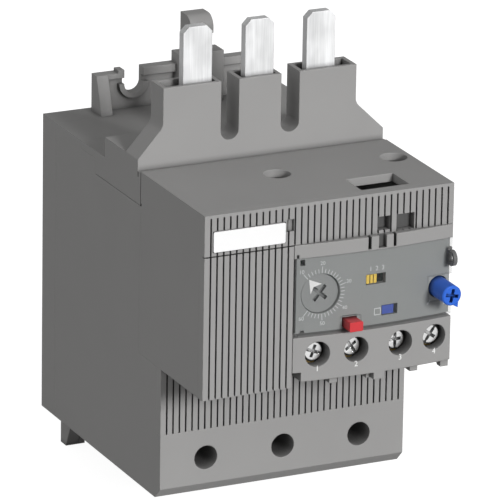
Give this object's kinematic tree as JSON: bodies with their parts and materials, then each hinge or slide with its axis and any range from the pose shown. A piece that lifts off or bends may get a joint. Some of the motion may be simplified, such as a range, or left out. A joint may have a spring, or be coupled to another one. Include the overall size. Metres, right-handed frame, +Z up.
{
  "type": "electronic overload relay",
  "caption": "Three pole electronic overload relay with plug-in prongs, setting dial, stop and reset buttons, control terminals and load clamps.",
  "frame": {"origin": "middle of the flat back face, half way up the housing", "axes": "+Z up towards the prongs, +Y rearwards out of the back face, +X to the right seen from the front"},
  "size_m": [0.07, 0.1082, 0.1322],
  "materials": {
    "housing_grey": "fine moulded grain, satin",
    "rib_grey": "fine moulded grain, satin",
    "marker_white": "smooth",
    "plate_grey": "smooth",
    "clear_cover": "clear, polished",
    "dial_grey": "smooth",
    "slider_yellow": "smooth",
    "slider_blue": "smooth",
    "button_red": "smooth",
    "knob_blue": "smooth",
    "inner_black": "moulded",
    "board_green": "coated laminate",
    "capacitor_sleeve": "shrink sleeve",
    "core_steel": "laminated",
    "copper_wire": "enamelled winding",
    "zinc_steel": "zinc plated",
    "spring_steel": "drawn",
    "tinned_copper": "tin plated, brushed along its length",
    "contact_brass": "stamped",
    "screw_chrome": "nickel plated"
  },
  "bodies": {
    "housing": {"rear_tray": "housing_grey", "tray_screws": "zinc_steel", "base_housing": "housing_grey", "lower_ribbed_front": "rib_grey", "terminal_tower": "housing_grey", "front_cover": "housing_grey", "ribbed_front": "rib_grey", "marker_plate": "marker_white", "adjuster_housing": "housing_grey", "faceplate": "plate_grey", "board_switches": "inner_black", "stop_spring": "spring_steel", "reset_spring": "spring_steel", "circuit_board": "board_green", "potentiometer": "inner_black", "processor_chip": "inner_black", "capacitors": "capacitor_sleeve", "transformer_tray": "inner_black", "transformer_cores": "core_steel", "transformer_windings": "copper_wire", "load_cages": "zinc_steel", "terminal_block": "housing_grey", "trip_coil": "copper_wire", "trip_yoke": "zinc_steel", "trip_spring": "spring_steel", "line_conductor_1": "tinned_copper", "line_conductor_2": "tinned_copper", "line_conductor_3": "tinned_copper", "aux_terminal_1": "contact_brass", "aux_terminal_2": "contact_brass", "aux_terminal_3": "contact_brass", "aux_terminal_4": "contact_brass"},
    "cover": {"setting_cover": "clear_cover"},
    "dial": {"setting_dial": "dial_grey"},
    "class_lever": {"class_slider": "slider_yellow"},
    "test_lever": {"test_slider": "slider_blue"},
    "stop": {"stop_button": "button_red"},
    "reset_stem": {"reset_plunger": "inner_black"},
    "reset_cap": {"reset_knob": "knob_blue"},
    "contacts": {"contact_carrier": "inner_black", "nc_bridge": "contact_brass", "no_bridge": "contact_brass", "trip_plunger": "zinc_steel"},
    "saddle_1": {"load_saddle_1": "zinc_steel"},
    "load_turn_1": {"load_screw_1": "zinc_steel"},
    "saddle_2": {"load_saddle_2": "zinc_steel"},
    "load_turn_2": {"load_screw_2": "zinc_steel"},
    "saddle_3": {"load_saddle_3": "zinc_steel"},
    "load_turn_3": {"load_screw_3": "zinc_steel"},
    "washer_1": {"aux_washer_1": "zinc_steel"},
    "aux_turn_1": {"aux_screw_1": "screw_chrome"},
    "washer_2": {"aux_washer_2": "zinc_steel"},
    "aux_turn_2": {"aux_screw_2": "screw_chrome"},
    "washer_3": {"aux_washer_3": "zinc_steel"},
    "aux_turn_3": {"aux_screw_3": "screw_chrome"},
    "washer_4": {"aux_washer_4": "zinc_steel"},
    "aux_turn_4": {"aux_screw_4": "screw_chrome"}
  },
  "joints": [
    {"name": "cover_hinge", "type": "hinge", "parent": "housing", "child": "cover", "pos_m": [-0.0089, -0.10082, 0.01915], "axis": [0, 0, -1], "range_deg": [0, 100]},
    {"name": "dial_turn", "type": "hinge", "parent": "housing", "child": "dial", "pos_m": [-0.0021, -0.1001, 0.01905], "axis": [0, 1, 0], "range_deg": [0, 258]},
    {"name": "class_slide", "type": "slide", "parent": "housing", "child": "class_lever", "axis": [1, 0, 0], "range_m": [0, 0.0022]},
    {"name": "test_slide", "type": "slide", "parent": "housing", "child": "test_lever", "axis": [1, 0, 0], "range_m": [0, 0.0008]},
    {"name": "stop_press", "type": "slide", "parent": "housing", "child": "stop", "axis": [0, 1, 0], "range_m": [0, 0.002], "stiffness_N_per_m": 400, "springref_m": -0.001, "deforming": ["stop_spring"]},
    {"name": "reset_press", "type": "slide", "parent": "housing", "child": "reset_stem", "axis": [0, 1, 0], "range_m": [0, 0.0025], "stiffness_N_per_m": 400, "springref_m": -0.001, "deforming": ["reset_spring"]},
    {"name": "reset_turn", "type": "hinge", "parent": "reset_stem", "child": "reset_cap", "pos_m": [0.0316, -0.1034, 0.01625], "axis": [0, 1, 0], "range_deg": [0, 60]},
    {"name": "contact_throw", "type": "slide", "parent": "housing", "child": "contacts", "axis": [0, 1, 0], "range_m": [0, 0.0015], "stiffness_N_per_m": 500, "springref_m": -0.001, "deforming": ["trip_spring"]},
    {"name": "saddle_press_1", "type": "slide", "parent": "housing", "child": "saddle_1", "axis": [0, 1, 0], "range_m": [0, 0.008]},
    {"name": "load_screw_turn_1", "type": "hinge", "parent": "saddle_1", "child": "load_turn_1", "pos_m": [-0.022, -0.055, -0.03105], "axis": [0, 1, 0], "range_deg": [0, 2880]},
    {"name": "saddle_press_2", "type": "slide", "parent": "housing", "child": "saddle_2", "axis": [0, 1, 0], "range_m": [0, 0.008]},
    {"name": "load_screw_turn_2", "type": "hinge", "parent": "saddle_2", "child": "load_turn_2", "pos_m": [0, -0.055, -0.03105], "axis": [0, 1, 0], "range_deg": [0, 2880]},
    {"name": "saddle_press_3", "type": "slide", "parent": "housing", "child": "saddle_3", "axis": [0, 1, 0], "range_m": [0, 0.008]},
    {"name": "load_screw_turn_3", "type": "hinge", "parent": "saddle_3", "child": "load_turn_3", "pos_m": [0.022, -0.055, -0.03105], "axis": [0, 1, 0], "range_deg": [0, 2880]},
    {"name": "washer_press_1", "type": "slide", "parent": "housing", "child": "washer_1", "axis": [0, 1, 0], "range_m": [0, 0.0015]},
    {"name": "aux_screw_turn_1", "type": "hinge", "parent": "washer_1", "child": "aux_turn_1", "pos_m": [-0.0032, -0.097, 0.00325], "axis": [0, 1, 0], "range_deg": [0, 900]},
    {"name": "washer_press_2", "type": "slide", "parent": "housing", "child": "washer_2", "axis": [0, 1, 0], "range_m": [0, 0.0015]},
    {"name": "aux_screw_turn_2", "type": "hinge", "parent": "washer_2", "child": "aux_turn_2", "pos_m": [0.0075, -0.097, 0.00325], "axis": [0, 1, 0], "range_deg": [0, 900]},
    {"name": "washer_press_3", "type": "slide", "parent": "housing", "child": "washer_3", "axis": [0, 1, 0], "range_m": [0, 0.0015]},
    {"name": "aux_screw_turn_3", "type": "hinge", "parent": "washer_3", "child": "aux_turn_3", "pos_m": [0.0201, -0.097, 0.00325], "axis": [0, 1, 0], "range_deg": [0, 900]},
    {"name": "washer_press_4", "type": "slide", "parent": "housing", "child": "washer_4", "axis": [0, 1, 0], "range_m": [0, 0.0015]},
    {"name": "aux_screw_turn_4", "type": "hinge", "parent": "washer_4", "child": "aux_turn_4", "pos_m": [0.0301, -0.097, 0.00325], "axis": [0, 1, 0], "range_deg": [0, 900]}
  ],
  "couplings": [
    {"joint": "load_screw_turn_1", "follows": "saddle_press_1", "rad_per_m": 6283.2},
    {"joint": "load_screw_turn_2", "follows": "saddle_press_2", "rad_per_m": 6283.2},
    {"joint": "load_screw_turn_3", "follows": "saddle_press_3", "rad_per_m": 6283.2},
    {"joint": "aux_screw_turn_1", "follows": "washer_press_1", "rad_per_m": 10472},
    {"joint": "aux_screw_turn_2", "follows": "washer_press_2", "rad_per_m": 10472},
    {"joint": "aux_screw_turn_3", "follows": "washer_press_3", "rad_per_m": 10472},
    {"joint": "aux_screw_turn_4", "follows": "washer_press_4", "rad_per_m": 10472}
  ]
}
